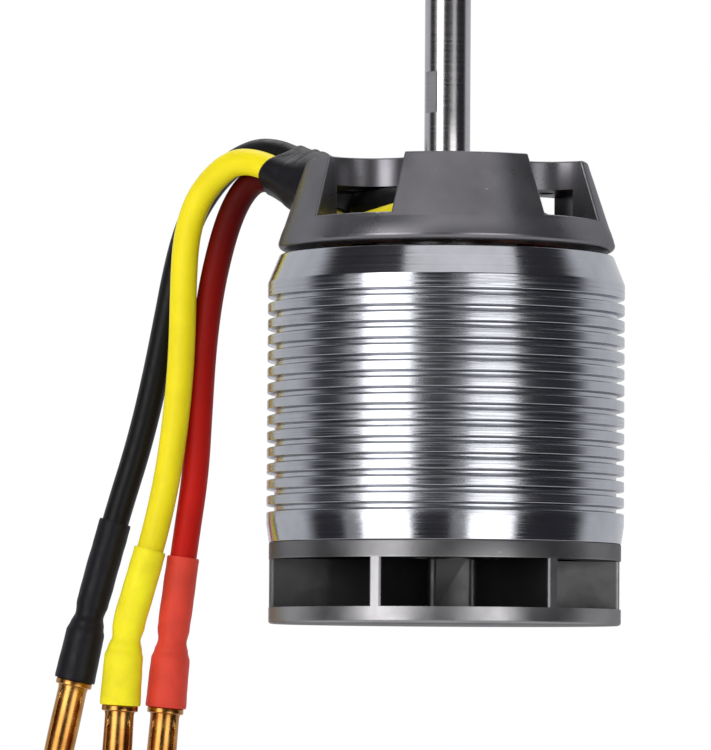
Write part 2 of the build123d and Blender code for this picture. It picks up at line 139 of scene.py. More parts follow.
class Paint:
    """A node material on object coordinates, whose grain has its real size and rides along."""

    def __init__(self, name, colour, metallic=0.0, roughness=0.5, **sockets):
        self.name = name
        self.material = bpy.data.materials.new(name)
        self.material.use_nodes = True
        self.tree = self.material.node_tree
        self.shader = self.tree.nodes["Principled BSDF"]
        self.place = self.tree.nodes.new("ShaderNodeTexCoord").outputs["Object"]
        self.shader.inputs["Base Color"].default_value = (*colour, 1)
        self.shader.inputs["Metallic"].default_value = metallic
        self.shader.inputs["Roughness"].default_value = roughness
        for socket, value in sockets.items():
            self.shader.inputs[socket.replace("_", " ")].default_value = value

    def add(self, kind, **links):
        node = self.tree.nodes.new(kind)
        for socket, value in links.items():
            name = socket.replace("_", " ")
            if isinstance(value, bpy.types.NodeSocket):
                self.tree.links.new(value, node.inputs[name])
            else:
                node.inputs[name].default_value = value
        return node

    def noise(self, size, detail=3.0, stretch=(1, 1, 1), shift=0.0):
        """Noise with blotches about this many millimetres across, stretched along x, y, z."""
        scaled = self.add("ShaderNodeMapping", Vector=self.place, Location=(shift, shift, shift))
        scaled.inputs["Scale"].default_value = [1000 / (size * s) for s in stretch]
        made = self.add("ShaderNodeTexNoise", Vector=scaled.outputs[0], Scale=1.0, Detail=detail)
        return made.outputs["Factor" if "Factor" in made.outputs else "Fac"]

    def rings(self, size, detail=2.0):
        """Turning marks: noise along z only, this many millimetres apart."""
        parts = self.add("ShaderNodeSeparateXYZ", Vector=self.place)
        made = self.tree.nodes.new("ShaderNodeTexNoise")
        made.noise_dimensions = "1D"
        self.tree.links.new(parts.outputs["Z"], made.inputs["W"])
        made.inputs["Scale"].default_value = 1000 / size
        made.inputs["Detail"].default_value = detail
        return made.outputs["Factor" if "Factor" in made.outputs else "Fac"]

    def radius(self):
        """Distance from the shaft's axis, in metres."""
        flat = self.add("ShaderNodeVectorMath", Vector=self.place)
        flat.operation = "MULTIPLY"
        flat.inputs[1].default_value = (1, 1, 0)
        length = self.add("ShaderNodeVectorMath", Vector=flat.outputs[0])
        length.operation = "LENGTH"
        return length.outputs["Value"]

    def beyond(self, radius, blur):
        """Rises from 0 to 1 over this blur up to a radius, both in millimetres."""
        node = self.add("ShaderNodeMapRange", Value=self.radius())
        node.inputs["From Min"].default_value = (radius - blur) * MM
        node.inputs["From Max"].default_value = radius * MM
        return node.outputs["Result"]

    def above(self, z, blur):
        """Rises from 0 to 1 over this blur above a height, both in millimetres."""
        height = self.add("ShaderNodeSeparateXYZ", Vector=self.place).outputs["Z"]
        node = self.add("ShaderNodeMapRange", Value=height)
        node.inputs["From Min"].default_value = z * MM
        node.inputs["From Max"].default_value = (z + blur) * MM
        return node.outputs["Result"]

    def ramp(self, factor, *stops):
        """Stops of (place, value) or (place, colour)."""
        node = self.add("ShaderNodeValToRGB", Fac=factor)
        elements = node.color_ramp.elements
        while len(elements) < len(stops):
            elements.new(0.5)
        for element, (where, value) in zip(elements, stops):
            element.position = where
            element.color = (*value, 1) if hasattr(value, "__len__") else (value, value, value, 1)
        return node.outputs["Color"]

    def mix(self, factor, one, other):
        node = self.tree.nodes.new("ShaderNodeMix")
        node.data_type = "RGBA"
        self.tree.links.new(factor, node.inputs["Factor"])
        self.tree.links.new(one, node.inputs["A"])
        self.tree.links.new(other, node.inputs["B"])
        return node.outputs["Result"]

    def colour(self, value):
        self.tree.links.new(value, self.shader.inputs["Base Color"])
        return self

    def rough(self, value):
        self.tree.links.new(value, self.shader.inputs["Roughness"])
        return self

    def bump(self, *layers):
        """Layers of (height, depth in millimetres), one on top of the other."""
        normal = None
        for height, depth in layers:
            node = self.add("ShaderNodeBump", Height=height, Strength=1.0, Distance=depth * MM)
            if normal is not None:
                self.tree.links.new(normal, node.inputs["Normal"])
            normal = node.outputs["Normal"]
        self.tree.links.new(normal, self.shader.inputs["Normal"])
        return self


def shade(colour, factor):
    return tuple(min(1.0, c * factor) for c in colour)


def anodised(name, colour, metallic, low, high, grain, light_below_height=None, shade_inside_radius=None):
    """Satin anodised aluminium: blasted grain, faint handling marks, a few bright scratches.

    It is paler below a given height, painted light on the plate and blade tips, and darker
    inside a given radius, painted shade in the bell's recesses, both in millimetres.
    """
    p = Paint(name, colour, metallic)
    p.shader.inputs["Specular Tint"].default_value = METAL_EDGE_TINT
    cloud = p.noise(9.0, 5)
    tone = p.ramp(cloud, (0.3, shade(colour, 0.88)), (0.7, shade(colour, 1.14)))
    scratch = p.noise(0.5, 2, (6, 6, 0.7), shift=3.0)
    mark = p.ramp(scratch, (SCRATCHES[0], 0.0), (SCRATCHES[1], 1.0))
    bright = p.ramp(cloud, (0.0, shade(colour, 2.6)), (1.0, shade(colour, 3.2)))
    finish = p.mix(mark, tone, bright)
    # painted light: paler below the height, standing in for light on the bell's plate and blade
    # tips
    if light_below_height:
        painted_lower_light = p.ramp(
            cloud,
            (0.0, shade(colour, 1.45)),
            (0.5, shade(colour, 1.7)),
            (1.0, shade(colour, 2.0)),
        )
        finish = p.mix(p.above(light_below_height, LOWER_LIGHT_BLUR), painted_lower_light, finish)
    # painted shade: darker inside the radius, standing in for the shade in the bell's recesses
    if shade_inside_radius:
        painted_inner_shade = p.ramp(cloud, (0.0, shade(colour, 0.3)), (1.0, shade(colour, 0.5)))
        finish = p.mix(p.beyond(shade_inside_radius, INNER_SHADE_BLUR), painted_inner_shade, finish)
    p.colour(finish)
    p.rough(p.ramp(p.noise(3.0, 6, shift=1.0), (0.3, low), (0.7, high)))
    return p.bump((p.noise(0.22, 3), grain), (p.rings(0.5), grain * 0.5))


def turned(name, colour, low, high, marks, waver, dull_between=None):
    """Turned or ground metal: fine lines round the axis and a slight waver in the reflections.

    Between the two heights dull_between, in millimetres, it is rougher than beyond them.
    """
    p = Paint(name, colour, 1.0)
    lines = p.rings(0.3, 4)
    p.colour(p.ramp(p.noise(5.0, 5), (0.3, shade(colour, 0.9)), (0.7, shade(colour, 1.08))))
    gloss = p.ramp(lines, (0.3, low), (0.75, high))
    if dull_between:
        dull = p.ramp(lines, (0.3, low * 1.5), (0.75, high * 1.5))
        bottom, top = dull_between
        lower = p.mix(p.above(bottom, POLISH_BLUR), gloss, dull)
        gloss = p.mix(p.above(top, POLISH_BLUR), lower, gloss)
    p.rough(gloss)
    broken = p.noise(1.0, 4, (7, 7, 0.3))
    return p.bump((p.rings(0.12, 3), marks), (broken, waver))


def silicone(name, colour, low=0.4, high=0.55, shine=0.25, painted_shade_factor=1.0):
    """Silicone insulation: soft, slightly dusty, and with painted shade a given factor times as
    bright at the sleeve.
    """
    p = Paint(name, colour, 0.0, 0.45)
    p.shader.inputs["Specular IOR Level"].default_value = shine
    dust = p.ramp(p.noise(0.35, 5, shift=2.0), (0.62, 0.0), (0.8, 0.35))
    body = p.ramp(p.noise(6.0, 4), (0.3, shade(colour, 0.93)), (0.7, shade(colour, 1.05)))
    pale = p.ramp(p.noise(2.0), (0.0, shade(colour, 1.1)), (1.0, shade(colour, 1.25)))
    skin = p.mix(dust, body, pale)
    # painted shade: darker towards the sleeve, by the given factor
    if painted_shade_factor < 1:
        painted_sleeve_shade = p.ramp(
            p.noise(5.0, 3),
            (0.3, shade(colour, painted_shade_factor)),
            (0.7, shade(colour, painted_shade_factor * 1.2)),
        )
        skin = p.mix(p.above(SHADE_FROM, SHADE_BLUR), skin, painted_sleeve_shade)
    p.colour(skin)
    p.rough(p.ramp(p.noise(1.5, 5), (0.3, low), (0.7, high)))
    return p.bump((p.noise(0.5, 4), 0.012), (p.noise(4.0, 2), 0.05))


def shrink_tube(name, colour, low, high, ripple):
    """Heat-shrink tube: satin, with a fine pebble and soft ripples where it was heated."""
    p = Paint(name, colour, 0.0, 0.45)
    p.shader.inputs["Specular IOR Level"].default_value = SHRINK_SHINE
    cloud = p.noise(3.5, 5)
    dark, pale = shade(colour, 0.86), shade(colour, 1.12)
    p.colour(p.ramp(cloud, (0.25, dark), (0.5, colour), (0.75, pale)))
    p.rough(p.ramp(p.noise(0.9, 5), (0.3, low), (0.7, high)))
    return p.bump((p.noise(0.18, 3), 0.008), (p.noise(1.3, 3, (1, 1, 0.6)), ripple))


def steel(name, colour, low, high, metallic=1.0):
    """Small hardware: tumbled or plated metal."""
    p = Paint(name, colour, metallic)
    p.colour(p.ramp(p.noise(1.2, 5), (0.3, shade(colour, 0.85)), (0.7, shade(colour, 1.1))))
    p.rough(p.ramp(p.noise(0.6, 4), (0.3, low), (0.7, high)))
    return p.bump((p.noise(0.15, 3), 0.004))


def gold_plating():
    stained, clean, bright = (0.36, 0.15, 0.035), (0.47, 0.22, 0.055), (0.6, 0.33, 0.09)
    p = Paint("gold_plating", clean, 1.0)
    p.colour(p.ramp(p.noise(3.0, 3), (0.3, stained), (0.5, clean), (0.7, bright)))
    p.rough(p.ramp(p.noise(1.5, 3), (0.3, 0.2), (0.7, 0.32)))
    return p.bump((p.noise(1.2, 1), 0.004))


def lamination_steel():
    seam, sheet, edge = (0.07, 0.07, 0.075), (0.2, 0.2, 0.21), (0.27, 0.26, 0.26)
    p = Paint("lamination_steel", sheet, 0.7)
    sheets = p.rings(0.35, 0)
    p.colour(p.ramp(sheets, (0.35, seam), (0.5, sheet), (0.65, edge)))
    p.rough(p.ramp(p.noise(1.0), (0.3, 0.4), (0.7, 0.62)))
    return p.bump((sheets, 0.03))


def copper_wire():
    burnt, lacquered, bright = (0.3, 0.07, 0.03), (0.5, 0.15, 0.06), (0.66, 0.25, 0.1)
    p = Paint("copper_wire", lacquered, 0.9, Coat_Weight=0.7, Coat_Roughness=0.12)
    p.colour(p.ramp(p.noise(2.5, 4), (0.25, burnt), (0.5, lacquered), (0.8, bright)))
    p.rough(p.ramp(p.noise(0.6), (0.3, 0.22), (0.7, 0.38)))
    return p.bump((p.noise(0.3, 3), 0.006))


def moulded(name, colour, low, high):
    p = Paint(name, colour, 0.0, 0.55)
    p.colour(p.ramp(p.noise(1.5, 5), (0.3, shade(colour, 0.85)), (0.7, shade(colour, 1.2))))
    p.rough(p.ramp(p.noise(0.5), (0.3, low), (0.7, high)))
    return p.bump((p.noise(0.12, 3), 0.01))


finishes = [
    anodised("cap_anodised", (0.205, 0.199, 0.214), 0.85, 0.26, 0.36, 0.005),
    # bell: painted light below -52 mm and painted shade inside a radius of 22.75 mm
    anodised("bell_anodised", (0.19, 0.186, 0.19), 0.9, 0.28, 0.4, 0.005, -52.0, 22.75),
    turned("polished_steel", (0.46, 0.468, 0.5), 0.1, 0.22, 0.0012, 0.012, (-46.8, -16.4)),
    turned("shaft_steel", (0.47, 0.455, 0.46), 0.17, 0.27, 0.0012, 0.003),
    turned("carrier_aluminium", (0.6, 0.6, 0.62), 0.25, 0.4, 0.003, 0.003),
    turned("bearing_steel", (0.66, 0.66, 0.67), 0.06, 0.16, 0.0008, 0.001),
    steel("magnet_nickel", (0.5, 0.5, 0.52), 0.16, 0.3),
    steel("black_steel", (0.05, 0.05, 0.055), 0.3, 0.45, 0.8),
    gold_plating(),
    lamination_steel(),
    copper_wire(),
    moulded("insulator_plastic", (0.03, 0.03, 0.032), 0.4, 0.6),
    moulded("cage_plastic", (0.25, 0.19, 0.11), 0.4, 0.55),
    silicone("yellow_silicone", (0.95, 0.79, 0.008)),
    silicone("black_silicone", (0.006, 0.006, 0.007), 0.36, 0.5, 0.18),
    # red lead: painted shade towards the sleeve
    silicone("red_silicone", (0.56, 0.013, 0.008), shine=0.1, painted_shade_factor=0.12),
    shrink_tube("yellow_shrink", (0.95, 0.82, 0.018), 0.42, 0.54, 0.03),
    shrink_tube("black_shrink", (0.009, 0.008, 0.011), 0.38, 0.52, 0.04),
    shrink_tube("red_shrink", (0.7, 0.06, 0.035), 0.44, 0.56, 0.03),
]
paints = {finish.name: finish for finish in finishes}


# ---- making pieces -------------------------------------------------------------------------------
MERGE = 1e-7  # metres
NEARLY_STRAIGHT = radians(89)  # half the angle at a corner that isn't rounded


def piece(name, data, body, slot, *nodes):
    """An object that rides on a body, has a slot's material and stands for these CAD nodes."""
    obj = bpy.data.objects.new(name, data)
    scene.collection.objects.link(obj)
    data.materials.append(paints[slot].material)
    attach(obj, body)
    if nodes:
        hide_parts(*nodes)
    return obj


def smooth(data, sharp_angle=38.0):
    data.polygons.foreach_set("use_smooth", [True] * len(data.polygons))
    data.set_sharp_from_angle(angle=radians(sharp_angle))


def solid_mesh(name, points, faces, sharp_angle=38.0):
    """A closed mesh from points in millimetres, doubles merged and faces turned outwards."""
    made = bmesh.new()
    corners = [made.verts.new([c * MM for c in point]) for point in points]
    for face in faces:
        made.faces.new([corners[i] for i in face])
    bmesh.ops.remove_doubles(made, verts=made.verts, dist=MERGE)
    bmesh.ops.dissolve_degenerate(made, edges=made.edges, dist=MERGE)
    bmesh.ops.recalc_face_normals(made, faces=made.faces)
    data = bpy.data.meshes.new(name)
    made.to_mesh(data)
    made.free()
    smooth(data, sharp_angle)
    return data


def weigh_normals(obj):
    """Keeps flat faces flat beside their rounded edges."""
    obj.modifiers.new("weighted_normals", "WEIGHTED_NORMAL").keep_sharp = True
    return obj


def rounded(corners, steps=4):
    """A closed outline through (x, y, radius) corners, each rounded by its own radius."""
    outline = []
    for i, (x, y, radius) in enumerate(corners):
        here = Vector((x, y))
        back = (Vector(corners[i - 1][:2]) - here).normalized()
        ahead = (Vector(corners[(i + 1) % len(corners)][:2]) - here).normalized()
        half = back.angle(ahead) / 2
        if radius <= 0 or half > NEARLY_STRAIGHT:
            outline.append(here)
            continue
        centre = here + (back + ahead).normalized() * radius / sin(half)
        start = here + back * radius / tan(half) - centre
        end = here + ahead * radius / tan(half) - centre
        turn = start.angle(end)
        for k in range(steps + 1):
            t = k / steps
            arc = (start * sin((1 - t) * turn) + end * sin(t * turn)) / sin(turn)
            outline.append(centre + arc)
    return outline


def lathe(name, outline, segments=256):
    """A closed (r, z) outline turned round the axis."""
    points, faces = [], []
    count = len(outline)
    for s in range(segments):
        angle = 2 * pi * s / segments
        points += [(r * cos(angle), r * sin(angle), z) for r, z in outline]
        here, there = s * count, (s + 1) % segments * count
        for i in range(count):
            j = (i + 1) % count
            faces.append((here + i, there + i, there + j, here + j))
    return solid_mesh(name, points, faces)


def loft(name, rings, sharp_angle=38.0, hollow=False):
    """Rings of equally many points joined in turn, capped, or if hollow joined last to first."""
    count = len(rings[0])
    points = [p for r in rings for p in r]
    faces = []
    for k in range(len(rings) if hollow else len(rings) - 1):
        here, there = k * count, (k + 1) % len(rings) * count
        for i in range(count):
            j = (i + 1) % count
            faces.append((here + i, here + j, there + j, there + i))
    if not hollow:
        faces.append(tuple(range(count)))
        faces.append(tuple(reversed(range(len(points) - count, len(points)))))
    return solid_mesh(name, points, faces, sharp_angle)


def frames(path, first_up):
    """(place, side, up) at each point of a path, turned as little as possible on the way."""
    out = []
    up = Vector(first_up)
    for i, here in enumerate(path):
        along = (path[min(i + 1, len(path) - 1)] - path[max(i - 1, 0)]).normalized()
        up = (up - along * up.dot(along)).normalized()
        out.append((here, along.cross(up), up))
    return out


def circle_on(place, side, up, radius, count=48):
    """A ring of points; radius is a number or a function of the angle."""
    ring = []
    for k in range(count):
        angle = 2 * pi * k / count
        reach = radius(angle) if callable(radius) else radius
        ring.append(place + (side * cos(angle) + up * sin(angle)) * reach)
    return ring


def lerp_table(table, x):
    """The value at x, eased between a table's (place, value) rows."""
    if x <= table[0][0]:
        return table[0][1]
    for (x0, v0), (x1, v1) in zip(table, table[1:]):
        if x <= x1:
            t = (x - x0) / (x1 - x0)
            return v0 + (v1 - v0) * t * t * (3 - 2 * t)
    return table[-1][1]


# ---- free leads ----------------------------------------------------------------------------------
LEAD_GAP = 0.04
away = radians(SLEEVE_ANGLE)
rise = radians(SLEEVE_RISE)
out_dir = Vector((cos(away) * cos(rise), sin(away) * cos(rise), sin(rise)))
side_dir = Vector((-sin(away), cos(away), 0))
up_dir = Vector((-cos(away) * sin(rise), -sin(away) * sin(rise), cos(rise)))
mouth = Vector((SLEEVE_MOUTH_AT * cos(away), SLEEVE_MOUTH_AT * sin(away), SLEEVE_MOUTH_Z))
bundle = (2 * LEAD_R + LEAD_GAP) / sqrt(3)  # from the bundle's centre to each lead's
starts = {
    "yellow": mouth + side_dir * bundle,
    "black": mouth + (up_dir * sin(radians(60)) - side_dir * 0.5) * bundle,
    "red": mouth - (up_dir * sin(radians(60)) + side_dir * 0.5) * bundle,
}
routes = {
    "yellow": [
        (-25.8, 16.3, 1.6),
        (-28.6, 18.2, 1.5),
        (-31.3, 20.0, -0.7),
        (-33.4, 21.0, -3.8),
        (-34.7, 21.5, -8.4),
        (-35.0, 21.5, -14.6),
        (-35.1, 21.5, -23.0),
        (-35.7, 21.5, -31.5),
        (-36.8, 21.5, -40.0),
        (-38.5, 21.5, -48.0),
        (-42.5, 21.5, -62.0),
        (-42.9, 21.5, -69.2),
    ],
    "black": [
        (-23.2, 18.4, 3.2),
        (-26.2, 20.8, 3.0),
        (-29.2, 22.9, 1.3),
        (-32.0, 24.4, -1.8),
        (-34.4, 25.5, -6.0),
        (-36.0, 25.7, -11.8),
        (-37.4, 25.7, -19.6),
        (-39.1, 25.6, -28.4),
        (-41.0, 25.5, -36.4),
        (-43.5, 25.4, -44.6),
        (-47.4, 25.4, -58.9),
        (-48.9, 25.4, -65.9),
    ],
    "red": [
        (-24.2, 19.1, -0.3),
        (-25.9, 20.2, -0.9),
        (-27.4, 21.1, -2.6),
        (-28.8, 22.0, -5.4),
        (-30.1, 22.9, -9.6),
        (-31.4, 23.5, -15.6),
        (-32.3, 23.6, -22.8),
        (-32.8, 23.6, -32.0),
        (-33.2, 23.6, -40.0),
        (-34.4, 23.6, -48.4),
        (-36.2, 23.6, -62.3),
        (-36.8, 23.6, -69.4),
    ],
}
shrink_lengths = {"yellow": 12.2, "black": 12.9, "red": 11.2}
shrink_seeds = {"yellow": 3.1, "black": 7.7, "red": 12.9}
SHRINK_WALL = 0.3
SHRINK_LIP = 0.13
SHRINK_RINGS = 70
SHRINK_RIPPLE = 0.05
CREASE_REACH = 3.2  # to each side of the lead's last bend
LIP_RINGS = 1.5  # over which a tube's end is rounded
COLLAR_RISE = 0.08
PIN_RINGS = 26
PIN_BULGE = 0.03
PIN_TAPER_FROM = 0.955  # of the pin's length
SLIT_FROM = 1.1  # past the collar
SLIT_RUN_IN = 0.8
SLIT_HALF = 0.12
SLIT_EDGE = 0.07
SLIT_DEPTH = 0.5


def lead_curve(name, route, body, slot, *nodes):
    """A round lead on one NURBS spline whose control points are the route's."""
    data = bpy.data.curves.new(name, "CURVE")
    data.dimensions = "3D"
    data.resolution_u = 12
    spline = data.splines.new("NURBS")
    spline.points.add(len(route) - 1)
    for point, place in zip(spline.points, route):
        point.co = (*(c * MM for c in place), 1)
        point.radius = MM  # times the bevel depth; a curve's box is also grown by it
    spline.order_u = 3
    spline.use_endpoint_u = True
    spline.use_smooth = True
    data.bevel_depth = LEAD_R
    data.bevel_resolution = 7
    data.use_fill_caps = True
    return piece(name, data, body, slot, *nodes)


def centreline(obj):
    """The points that a lead's spline follows, in millimetres."""
    thick = obj.data.bevel_depth
    obj.data.bevel_depth = 0
    line = bpy.data.meshes.new_from_object(obj)
    obj.data.bevel_depth = thick
    points = [Vector(v.co) / MM for v in line.vertices]
    bpy.data.meshes.remove(line)
    return points


def connector_shrink(colour, lead, bend, cup_dir):
    """The shrink tube that covers the lead's end and the bullet's solder cup."""
    line = centreline(lead)
    end = line[-1]
    walk = [(0.0, end)]
    for before, here in zip(reversed(line[:-1]), reversed(line)):
        walk.append((walk[-1][0] + (here - before).length, before))
    below_bend = (end - bend).length
    top = below_bend + shrink_lengths[colour]

    def at(distance):
        """The place this far back along the lead from its end, or beyond it if negative."""
        if distance <= 0:
            return end - cup_dir * distance
        for (d0, p0), (d1, p1) in zip(walk, walk[1:]):
            if distance <= d1:
                return p0.lerp(p1, (distance - d0) / (d1 - d0))
        return walk[-1][1]

    radii = [  # distance past the last bend, and the radius there
        (-shrink_lengths[colour], 2.24),
        (-shrink_lengths[colour] + 0.5, 2.17),
        (-3.4, 2.2),
        (-1.6, 2.16),
        (0.1, 1.93),
        (1.5, 2.3),
        (2.6, 2.6),
        (5.0, 2.66),
        (SHRINK_BELOW - 0.6, 2.74),
        (SHRINK_BELOW, 2.78),
    ]
    steps = SHRINK_RINGS
    span = top - (below_bend - SHRINK_BELOW)
    places = [at(top - span * k / steps) for k in range(steps + 1)]
    seed = shrink_seeds[colour]
    outer = []
    inner = []
    for k, (place, side, up) in enumerate(frames(places, (0, -1, 0))):
        s = -shrink_lengths[colour] + span * k / steps

        def wavy(angle, s=s):
            """The radius with soft ripples, and creases near the bend."""
            swell = noise.noise(Vector((cos(angle) * 1.3, sin(angle) * 1.3, s * 0.5 + seed)))
            crease = noise.noise(Vector((cos(angle) * 3.0, sin(angle) * 3.0, s * 1.6 + seed)))
            ease = max(0.0, 1 - abs(s) / CREASE_REACH)
            return lerp_table(radii, s) + SHRINK_RIPPLE * swell + SHRINK_RIPPLE * crease * ease

        lip = min(1.0, k / LIP_RINGS, (steps - k) / LIP_RINGS + 0.02)
        soften = SHRINK_LIP * (1 - sqrt(max(0.0, 1 - (1 - lip) ** 2)))
        outer.append(circle_on(place, side, up, lambda a, f=wavy, d=soften: f(a) - d))
        inner.append(circle_on(place, side, up, lambda a, f=wavy: f(a) - SHRINK_WALL))
    return loft(f"{colour}_connector_tube", outer + inner[::-1], 60.0, hollow=True)


def bullet(colour, bend, cup_dir):
    """Solder cup, collar and slit pin of a bullet connector."""
    side = cup_dir.orthogonal().normalized()
    up = cup_dir.cross(side)
    pin_start = SHRINK_BELOW + COLLAR
    pin_length = PIN_OUT - COLLAR

    def slit(distance, radius):
        """The radius as a function of the angle, less the depth of the pin's four slits."""
        into = (distance - (pin_start + SLIT_FROM)) / SLIT_RUN_IN
        depth = SLIT_DEPTH * min(1.0, max(0.0, into))

        def reach(angle):
            near = abs((angle + pi / 4) % (pi / 2) - pi / 4) * radius
            edge = min(1.0, max(0.0, (SLIT_HALF + SLIT_EDGE - near) / SLIT_EDGE))
            return radius - depth * edge

        return reach

    shape = [  # distance past the last bend, and the radius there
        (3.4, CUP_R),
        (SHRINK_BELOW - 0.3, CUP_R),
        (SHRINK_BELOW, CUP_R),
        (SHRINK_BELOW + 0.1, CUP_R + COLLAR_RISE),
        (pin_start - 0.12, CUP_R + COLLAR_RISE),
        (pin_start, CUP_R - 0.05),
        (pin_start + 0.02, PIN_R + 0.02),
    ]
    for k in range(1, PIN_RINGS + 1):
        t = k / PIN_RINGS
        bulge = -PIN_BULGE * cos(2 * pi * min(1, t * 1.05))
        shape.append((pin_start + pin_length * t * PIN_TAPER_FROM, PIN_R - PIN_BULGE + bulge))
    shape += [
        (pin_start + pin_length * 0.975, PIN_R - 0.22),
        (pin_start + pin_length * 0.992, PIN_R - 0.45),
        (pin_start + pin_length, PIN_R - 0.8),
    ]
    rings = [circle_on(bend + cup_dir * d, side, up, slit(d, r), 160) for d, r in shape]
    return loft(f"{colour}_bullet", rings, 45.0)


for colour, rest in routes.items():
    above, bend, end = (Vector(p) for p in rest[-3:])
    cup_dir = (end - bend).normalized()
    beside = bend + (above - bend).normalized() * (end - bend).length
    route = [starts[colour], *rest[:-2], beside, *rest[-2:]]
    lead = lead_curve(
        f"{colour}_free_lead", route, "stator", f"{colour}_silicone", f"{colour}_lead"
    )
    tube = weigh_normals(
        piece(
            f"{colour}_connector_tube",
            connector_shrink(colour, lead, bend, cup_dir),
            "stator",
            f"{colour}_shrink",
            f"{colour}_connector_shrink",
        )
    )
    pin = piece(
        f"{colour}_bullet",
        bullet(colour, bend, cup_dir),
        "stator",
        "gold_plating",
        f"{colour}_bullet_pin",
    )

# ---- leads inside the cap ------------------------------------------------------------------------
straight_runs = {"yellow": 13.0, "black": 13.8, "red": 14.2}  # inside the sleeve
inner_routes = {
    "yellow": [
        (-14.6, 4.4, -8.2),
        (-14.3, -2.6, -9.7),
        (-11.2, -9.4, -9.2),
        (-4.4, -13.9, -7.4),
    ],
    "black": [
        (-10.7, 4.4, -6.2),
        (-11.1, -2.2, -5.6),
        (-8.2, -8.2, -5.7),
        (-4.6, -10.4, -5.6),
    ],
    "red": [
        (-8.2, 12.2, -8.8),
        (-2.8, 13.4, -9.6),
        (2.5, 13.6, -9.6),
        (7.8, 11.9, -8.9),
        (11.6, 7.6, -7.6),
        (12.7, 2.2, -7.7),
        (12.0, -2.8, -9.3),
    ],
}
for colour, rest in inner_routes.items():
    start = starts[colour]
    route = [start, start - out_dir * straight_runs[colour], *rest]
    lead_curve(
        f"{colour}_lead_in_cap", route, "stator", f"{colour}_silicone", f"{colour}_inner_lead"
    )


# ---- sleeve round the three leads ----------------------------------------------------------------
SLEEVE_WALL = 0.24
SLEEVE_GAP = 0.03
SLEEVE_BORE_R = 4.0
SLEEVE_RIPPLE = 0.1
MOUTH_BACK = 0.8  # how far the slanted mouth stands back on average
MOUTH_SLANT = 1.3
SLEEVE_RINGS = 52
SLEEVE_POINTS = 72
TAIL_RINGS = 12  # of the inner end, which is drawn down onto the yellow lead
TAIL_R = 1.9
TAIL_BEND = Vector((-14.0, 8.0, -4.2))
TAIL_END = Vector((-14.5, 5.1, -7.1))
LIP_ROUND = 0.12
FOLDS = (  # place along the sleeve, facing, width and height; a negative one is a crease
    (0.56, radians(100), 0.32, 0.26),
    (0.68, radians(80), 0.5, -0.16),
    (0.44, radians(110), 0.55, 0.2),
    (0.5, radians(-60), 0.6, -0.15),
    (0.3, radians(-30), 0.7, 0.12),
    (0.62, radians(-80), 2.6, 0.8),
)


def bundle_reach(angle, skin):
    """Distance from the bundle's centre to a skin stretched round the three leads."""
    best = 1e9
    for k in range(-44, 45):
        tilt = radians(2 * k)
        facing = angle + tilt
        support = max(
            bundle * cos(facing - lead_angle) for lead_angle in (0.0, radians(120), radians(240))
        )
        best = min(best, (support + LEAD_R + skin) / cos(tilt))
    return best


def fold_height(angle, t):
    """How far the folds stand out at this angle, t of the way to the mouth."""
    across = Vector((cos(angle), sin(angle)))
    return sum(
        height
        * max(0.0, across.dot(Vector((cos(facing), sin(facing))))) ** 2
        * exp(-(((t - where) * SLEEVE_LENGTH) / width) ** 2)
        for where, facing, width, height in FOLDS
    )


def sleeve_mesh():
    """Skin over the three leads at the slanted mouth, round further in, and tapered at its end."""
    count = SLEEVE_POINTS
    inner_end = mouth - out_dir * SLEEVE_LENGTH
    hull = [bundle_reach(2 * pi * i / count, SLEEVE_GAP) for i in range(count)]
    outer = []
    inner = []
    for k in range(TAIL_RINGS, 0, -1):
        u = k / TAIL_RINGS
        place = inner_end * (1 - u) ** 2 + TAIL_BEND * 2 * u * (1 - u) + TAIL_END * u**2
        along = ((TAIL_BEND - inner_end) * (1 - u) + (TAIL_END - TAIL_BEND) * u).normalized()
        across = (side_dir - along * side_dir.dot(along)).normalized()
        upward = across.cross(along)
        reach = lerp_table([(0.0, SLEEVE_BORE_R), (1.0, TAIL_R)], u)
        inner.append(circle_on(place, across, upward, reach, count))
        outer.append(circle_on(place, across, upward, reach + SLEEVE_WALL, count))
    for k in range(SLEEVE_RINGS + 1):
        t = k / SLEEVE_RINGS  # 1 at the mouth
        place = mouth - out_dir * SLEEVE_LENGTH * (1 - t)
        hug = lerp_table([(0.25, 0.0), (0.8, 1.0)], t)
        slanted = lerp_table([(0.6, 0.0), (1.0, 1.0)], t)
        past = max(0.0, k - SLEEVE_RINGS + LIP_RINGS)
        lip = LIP_ROUND * (1 - sqrt(max(0.0, 1 - past**2 / LIP_RINGS**2)))
        outer_ring = []
        inner_ring = []
        for i in range(count):
            angle = 2 * pi * i / count
            wander = noise.noise(Vector((cos(angle) * 1.6, sin(angle) * 1.6, t * 5.0)))
            reach = SLEEVE_BORE_R * (1 - hug) + hull[i] * hug
            reach = max(hull[i], reach + fold_height(angle, t) + wander * SLEEVE_RIPPLE)
            along = side_dir * cos(angle) + up_dir * sin(angle)
            slant = out_dir * (-MOUTH_BACK - MOUTH_SLANT * sin(angle)) * slanted
            inner_ring.append(place + slant + along * reach)
            outer_ring.append(place + slant + along * (reach + SLEEVE_WALL - lip))
        outer.append(outer_ring)
        inner.append(inner_ring)
    return loft("sleeve", outer + inner[::-1], 60.0, hollow=True)


weigh_normals(piece("lead_bundle_sleeve", sleeve_mesh(), "stator", "black_shrink", "lead_sleeve"))

